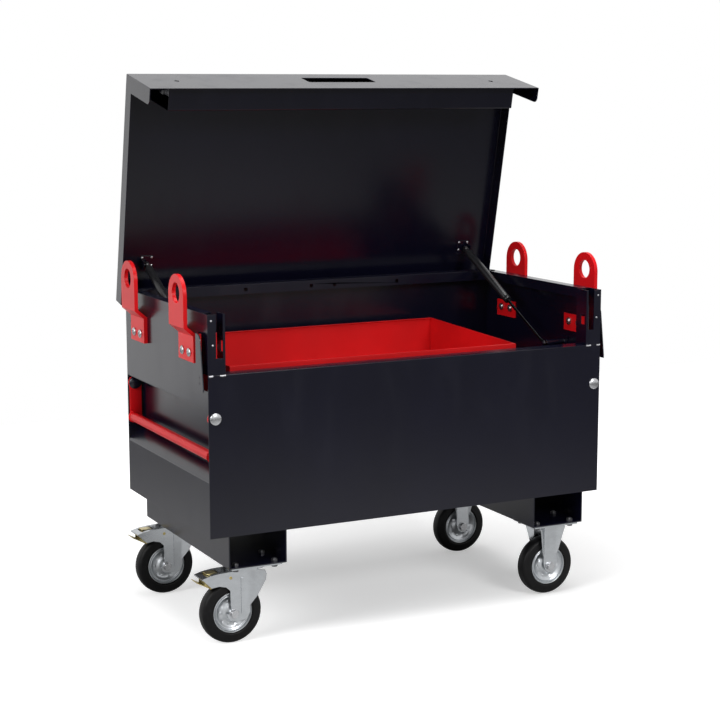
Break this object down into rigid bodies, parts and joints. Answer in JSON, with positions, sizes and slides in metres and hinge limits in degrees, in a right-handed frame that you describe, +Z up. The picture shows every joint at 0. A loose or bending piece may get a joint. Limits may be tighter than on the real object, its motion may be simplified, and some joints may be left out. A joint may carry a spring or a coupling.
{
  "type": "jobsite box",
  "caption": "Wheeled steel jobsite box with a strut-held lid, sliding tool tray, deadbolts, lift handles and lifting lugs",
  "frame": {"origin": "centre of the body's underside, between the skids", "axes": "+X to the box's right seen from the front, +Y to the rear, +Z up"},
  "size_m": [1.1986, 0.6484, 1.4049],
  "materials": {
    "black_coat": "blue-black semi-gloss powder coat",
    "red_coat": "bright red powder coat",
    "handle_red": "bright red powder coat",
    "tray_red": "red powder coat",
    "bright_zinc": "bright zinc plating",
    "castor_zinc": "pressed steel, bright zinc plating",
    "yellow_zinc": "zinc plating with a yellow passivated toe",
    "rod_black": "dark polished rod",
    "strut_black": "black enamel",
    "lock_steel": "plain steel lock body",
    "buffer_rubber": "matt black rubber",
    "tyre_rubber": "black rubber"
  },
  "bodies": {
    "box_body": {"castor_bolts": "bright_zinc", "end_wall_left": "black_coat", "end_wall_right": "black_coat", "floor_panel": "black_coat", "front_panel": "black_coat", "front_post_left": "black_coat", "front_post_right": "black_coat", "handle_pivot_bolts": "bright_zinc", "handle_pivot_caps": "black_coat", "hinge_leaf_body": "black_coat", "hinge_pin": "bright_zinc", "lid_buffers": "buffer_rubber", "lifting_lug_front_left": "red_coat", "lifting_lug_front_right": "red_coat", "lifting_lug_rear_left": "red_coat", "lifting_lug_rear_right": "red_coat", "lug_backing_plates": "red_coat", "lug_bolts": "bright_zinc", "lug_nuts": "bright_zinc", "rear_panel": "black_coat", "rear_rail": "black_coat", "rigid_axles": "bright_zinc", "rigid_bracket_front": "castor_zinc", "rigid_bracket_rear": "castor_zinc", "skid_left": "black_coat", "skid_right": "black_coat", "strut_brackets_body": "black_coat", "swivel_plate_front": "castor_zinc", "swivel_plate_rear": "castor_zinc", "tray_runners": "tray_red", "upper_end_plate_left": "black_coat", "upper_end_plate_right": "black_coat"},
    "lid": {"lid_shell": "black_coat", "hinge_leaf_lid": "black_coat", "lock_cover": "black_coat", "lock_cases": "lock_steel", "strut_brackets_lid": "black_coat"},
    "deadbolt_left": {"deadbolt_left": "bright_zinc"},
    "lift_handle_left": {"lift_handle_left": "handle_red"},
    "strut_rod_left": {"strut_rod_left": "rod_black"},
    "strut_cylinder_left": {"strut_cylinder_left": "strut_black"},
    "wheel_front_left": {"wheel_rim_front_left": "castor_zinc", "tyre_front_left": "tyre_rubber"},
    "wheel_rear_left": {"wheel_rim_rear_left": "castor_zinc", "tyre_rear_left": "tyre_rubber"},
    "deadbolt_right": {"deadbolt_right": "bright_zinc"},
    "lift_handle_right": {"lift_handle_right": "handle_red"},
    "strut_rod_right": {"strut_rod_right": "rod_black"},
    "strut_cylinder_right": {"strut_cylinder_right": "strut_black"},
    "wheel_front_right": {"wheel_rim_front_right": "castor_zinc", "tyre_front_right": "tyre_rubber"},
    "wheel_rear_right": {"wheel_rim_rear_right": "castor_zinc", "tyre_rear_right": "tyre_rubber"},
    "tool_tray": {"tool_tray": "tray_red"},
    "swivel_fork_front": {"swivel_fork_front": "castor_zinc", "swivel_axle_front": "bright_zinc"},
    "brake_pedal_front": {"brake_pedal_front": "yellow_zinc"},
    "swivel_fork_rear": {"swivel_fork_rear": "castor_zinc", "swivel_axle_rear": "bright_zinc"},
    "brake_pedal_rear": {"brake_pedal_rear": "yellow_zinc"}
  },
  "joints": [
    {"name": "lid_hinge", "type": "hinge", "parent": "box_body", "child": "lid", "pos_m": [0, 0.305, 0.5133], "axis": [1, 0, 0], "range_deg": [0, 78.1]},
    {"name": "deadbolt_slide_left", "type": "slide", "parent": "lid", "child": "deadbolt_left", "axis": [-1, 0, 0], "range_m": [0, 0.024]},
    {"name": "lift_handle_left_pivot", "type": "hinge", "parent": "box_body", "child": "lift_handle_left", "pos_m": [-0.547, 0, 0.296], "axis": [0, 1, 0], "range_deg": [0, 90]},
    {"name": "strut_foot_left", "type": "hinge", "parent": "box_body", "child": "strut_rod_left", "pos_m": [-0.498, -0.124, 0.386], "axis": [1, 0, 0], "range_deg": [-2.92, 0]},
    {"name": "strut_stroke_left", "type": "slide", "parent": "strut_rod_left", "child": "strut_cylinder_left", "axis": [0, 0.8886, 0.4587], "range_m": [-0.12019, 0]},
    {"name": "deadbolt_slide_right", "type": "slide", "parent": "lid", "child": "deadbolt_right", "axis": [1, 0, 0], "range_m": [0, 0.024]},
    {"name": "lift_handle_right_pivot", "type": "hinge", "parent": "box_body", "child": "lift_handle_right", "pos_m": [0.547, 0, 0.296], "axis": [0, -1, 0], "range_deg": [0, 90]},
    {"name": "strut_foot_right", "type": "hinge", "parent": "box_body", "child": "strut_rod_right", "pos_m": [0.498, -0.124, 0.386], "axis": [1, 0, 0], "range_deg": [-2.92, 0]},
    {"name": "strut_stroke_right", "type": "slide", "parent": "strut_rod_right", "child": "strut_cylinder_right", "axis": [0, 0.8886, 0.4587], "range_m": [-0.12019, 0]},
    {"name": "tray_slide", "type": "slide", "parent": "box_body", "child": "tool_tray", "axis": [1, 0, 0], "range_m": [0, 0.145]},
    {"name": "castor_swivel_front", "type": "hinge", "parent": "box_body", "child": "swivel_fork_front", "pos_m": [-0.44, -0.236, -0.09], "axis": [0, 0, 1], "continuous": true},
    {"name": "brake_pedal_front_press", "type": "hinge", "parent": "swivel_fork_front", "child": "brake_pedal_front", "pos_m": [-0.5, -0.236, -0.1136], "axis": [0, -1, 0], "range_deg": [0, 4.5]},
    {"name": "wheel_spin_front_left", "type": "hinge", "parent": "swivel_fork_front", "child": "wheel_front_left", "pos_m": [-0.492, -0.236, -0.206], "axis": [0, 1, 0], "continuous": true},
    {"name": "wheel_spin_front_right", "type": "hinge", "parent": "box_body", "child": "wheel_front_right", "pos_m": [0.438, -0.236, -0.206], "axis": [0, 1, 0], "continuous": true},
    {"name": "castor_swivel_rear", "type": "hinge", "parent": "box_body", "child": "swivel_fork_rear", "pos_m": [-0.44, 0.236, -0.09], "axis": [0, 0, 1], "continuous": true},
    {"name": "brake_pedal_rear_press", "type": "hinge", "parent": "swivel_fork_rear", "child": "brake_pedal_rear", "pos_m": [-0.5, 0.236, -0.1136], "axis": [0, -1, 0], "range_deg": [0, 4.5]},
    {"name": "wheel_spin_rear_left", "type": "hinge", "parent": "swivel_fork_rear", "child": "wheel_rear_left", "pos_m": [-0.492, 0.236, -0.206], "axis": [0, 1, 0], "continuous": true},
    {"name": "wheel_spin_rear_right", "type": "hinge", "parent": "box_body", "child": "wheel_rear_right", "pos_m": [0.438, 0.236, -0.206], "axis": [0, 1, 0], "continuous": true}
  ],
  "couplings": [
    {"joint": "strut_foot_left", "follows": "lid_hinge", "ratio": -0.037233},
    {"joint": "strut_stroke_left", "follows": "lid_hinge", "m_per_rad": -0.088102},
    {"joint": "strut_foot_right", "follows": "lid_hinge", "ratio": -0.037233},
    {"joint": "strut_stroke_right", "follows": "lid_hinge", "m_per_rad": -0.088102}
  ]
}
